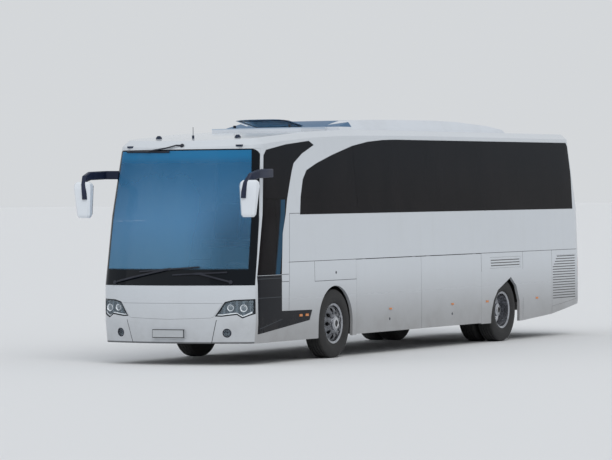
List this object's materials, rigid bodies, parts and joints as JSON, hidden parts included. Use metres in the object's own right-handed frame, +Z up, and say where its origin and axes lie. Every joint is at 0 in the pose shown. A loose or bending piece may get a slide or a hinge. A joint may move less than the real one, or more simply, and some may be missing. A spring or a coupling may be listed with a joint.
{
  "type": "coach bus",
  "caption": "High-deck two-axle coach with swept white side arches, dark side glass, roof unit, lifting luggage flaps, swing-out doors and steered front wheels.",
  "frame": {"origin": "on the road, at the middle of the vehicle's length and width, mirrors counted", "axes": "+X towards the front, +Y towards the driver's (left) side, +Z up"},
  "size_m": [12.32, 3.08, 3.602],
  "materials": {
    "body_paint": "gloss cool white paint",
    "dark_paint": "gloss anthracite paint",
    "frame_paint": "satin black underbody coating",
    "tinted_glass": "dark tinted safety glass",
    "screen_glass": "lightly tinted laminated glass",
    "clear_lens": "clear lamp cover",
    "red_lens": "red lamp cover",
    "amber_lens": "amber lamp cover",
    "lamp_bowl": "bright reflector",
    "black_plastic": "fine grained black plastic",
    "grey_plastic": "soft touch grey plastic",
    "smoked_plastic": "smoked blue acrylic",
    "roof_shell": "gel coated glass fibre",
    "seat_cloth": "patterned red woven cloth",
    "tyre_rubber": "worn black rubber",
    "wheel_metal": "polished metal",
    "cast_metal": "dull cast metal"
  },
  "bodies": {
    "coach": {"underframe": "frame_paint", "side_wall_left": "body_paint", "side_wall_right": "body_paint", "skirt_left": "body_paint", "skirt_right": "body_paint", "driver_panel": "dark_paint", "front_mask": "body_paint", "bumper_front": "body_paint", "service_flap": "body_paint", "roof": "body_paint", "roof_unit": "roof_shell", "rear_wall": "body_paint", "windscreen": "screen_glass", "side_glass_left": "tinted_glass", "side_glass_right": "tinted_glass", "rear_glass": "tinted_glass", "front_lenses": "clear_lens", "headlamp_bowls": "lamp_bowl", "rear_lamps": "red_lens", "louvres": "dark_paint", "engine": "cast_metal", "seats": "seat_cloth", "driver_seat": "seat_cloth", "dashboard": "grey_plastic", "mirror_arms": "black_plastic", "mirror_shells": "body_paint", "wipers": "black_plastic", "front_axle": "cast_metal", "rear_axle": "cast_metal", "side_markers": "amber_lens", "roof_markers": "smoked_plastic"},
    "knuckle_left": {"knuckle_left": "cast_metal"},
    "knuckle_right": {"knuckle_right": "cast_metal"},
    "wheel_front_left": {"tyre_front_left": "tyre_rubber", "rim_front_left": "wheel_metal"},
    "wheel_front_right": {"tyre_front_right": "tyre_rubber", "rim_front_right": "wheel_metal"},
    "wheels_rear_left": {"tyres_rear_left": "tyre_rubber", "rims_rear_left": "wheel_metal"},
    "wheels_rear_right": {"tyres_rear_right": "tyre_rubber", "rims_rear_right": "wheel_metal"},
    "luggage_flap_left_front": {"flap_left_front": "body_paint"},
    "luggage_flap_left_rear": {"flap_left_rear": "body_paint"},
    "luggage_flap_right_front": {"flap_right_front": "body_paint"},
    "luggage_flap_right_rear": {"flap_right_rear": "body_paint"},
    "engine_cover": {"engine_lid": "body_paint"},
    "roof_hatch_front": {"hatch_front": "smoked_plastic"},
    "roof_hatch_rear": {"hatch_rear": "smoked_plastic"},
    "arms_front": {"door_arms_front": "black_plastic"},
    "arms_middle": {"door_arms_middle": "black_plastic"},
    "leaf_front": {"door_front": "body_paint", "door_front_glass": "tinted_glass"},
    "leaf_middle": {"door_middle": "body_paint"}
  },
  "joints": [
    {"name": "steer_left", "type": "hinge", "parent": "coach", "child": "knuckle_left", "pos_m": [3.18, 1.06, 0.514], "axis": [0, 0, 1], "range_deg": [-38, 38]},
    {"name": "spin_front_left", "type": "hinge", "parent": "knuckle_left", "child": "wheel_front_left", "pos_m": [3.18, 1.118, 0.514], "axis": [0, 1, 0], "continuous": true},
    {"name": "spin_rear_left", "type": "hinge", "parent": "coach", "child": "wheels_rear_left", "pos_m": [-2.9, 1.1, 0.514], "axis": [0, 1, 0], "continuous": true},
    {"name": "steer_right", "type": "hinge", "parent": "coach", "child": "knuckle_right", "pos_m": [3.18, -1.06, 0.514], "axis": [0, 0, 1], "range_deg": [-38, 38]},
    {"name": "spin_front_right", "type": "hinge", "parent": "knuckle_right", "child": "wheel_front_right", "pos_m": [3.18, -1.118, 0.514], "axis": [0, 1, 0], "continuous": true},
    {"name": "spin_rear_right", "type": "hinge", "parent": "coach", "child": "wheels_rear_right", "pos_m": [-2.9, -1.1, 0.514], "axis": [0, 1, 0], "continuous": true},
    {"name": "lift_left_front", "type": "hinge", "parent": "coach", "child": "luggage_flap_left_front", "pos_m": [1.365, 1.2658, 1.456], "axis": [1, 0, 0], "range_deg": [0, 85]},
    {"name": "lift_left_rear", "type": "hinge", "parent": "coach", "child": "luggage_flap_left_rear", "pos_m": [-0.875, 1.2658, 1.456], "axis": [1, 0, 0], "range_deg": [0, 85]},
    {"name": "lift_right_front", "type": "hinge", "parent": "coach", "child": "luggage_flap_right_front", "pos_m": [1.365, -1.2658, 1.456], "axis": [-1, 0, 0], "range_deg": [0, 85]},
    {"name": "lift_right_rear", "type": "hinge", "parent": "coach", "child": "luggage_flap_right_rear", "pos_m": [-0.33, -1.2658, 1.456], "axis": [-1, 0, 0], "range_deg": [0, 85]},
    {"name": "lift_engine_cover", "type": "hinge", "parent": "coach", "child": "engine_cover", "pos_m": [-6.12918, 0, 2.044], "axis": [0, 1, 0], "range_deg": [0, 80]},
    {"name": "tilt_hatch_front", "type": "hinge", "parent": "coach", "child": "roof_hatch_front", "pos_m": [2.508, 0, 3.459], "axis": [0, -1, 0], "range_deg": [-9, 4]},
    {"name": "tilt_hatch_rear", "type": "hinge", "parent": "coach", "child": "roof_hatch_rear", "pos_m": [-4.952, 0, 3.423], "axis": [0, -1, 0], "range_deg": [0, 13]},
    {"name": "swing_arms_front", "type": "hinge", "parent": "coach", "child": "arms_front", "pos_m": [5.25, -1.15, 1.2], "axis": [0, 0, 1], "range_deg": [0, 155]},
    {"name": "keep_leaf_front", "type": "hinge", "parent": "arms_front", "child": "leaf_front", "pos_m": [4.88, -1.15, 1.2], "axis": [0, 0, 1], "range_deg": [-155, 0]},
    {"name": "swing_arms_middle", "type": "hinge", "parent": "coach", "child": "arms_middle", "pos_m": [-1.7, -1.15, 1.2], "axis": [0, 0, -1], "range_deg": [0, 155]},
    {"name": "keep_leaf_middle", "type": "hinge", "parent": "arms_middle", "child": "leaf_middle", "pos_m": [-1.33, -1.15, 1.2], "axis": [0, 0, -1], "range_deg": [-155, 0]}
  ],
  "couplings": [
    {"joint": "steer_right", "follows": "steer_left", "ratio": 1},
    {"joint": "keep_leaf_front", "follows": "swing_arms_front", "ratio": -1},
    {"joint": "keep_leaf_middle", "follows": "swing_arms_middle", "ratio": -1}
  ]
}
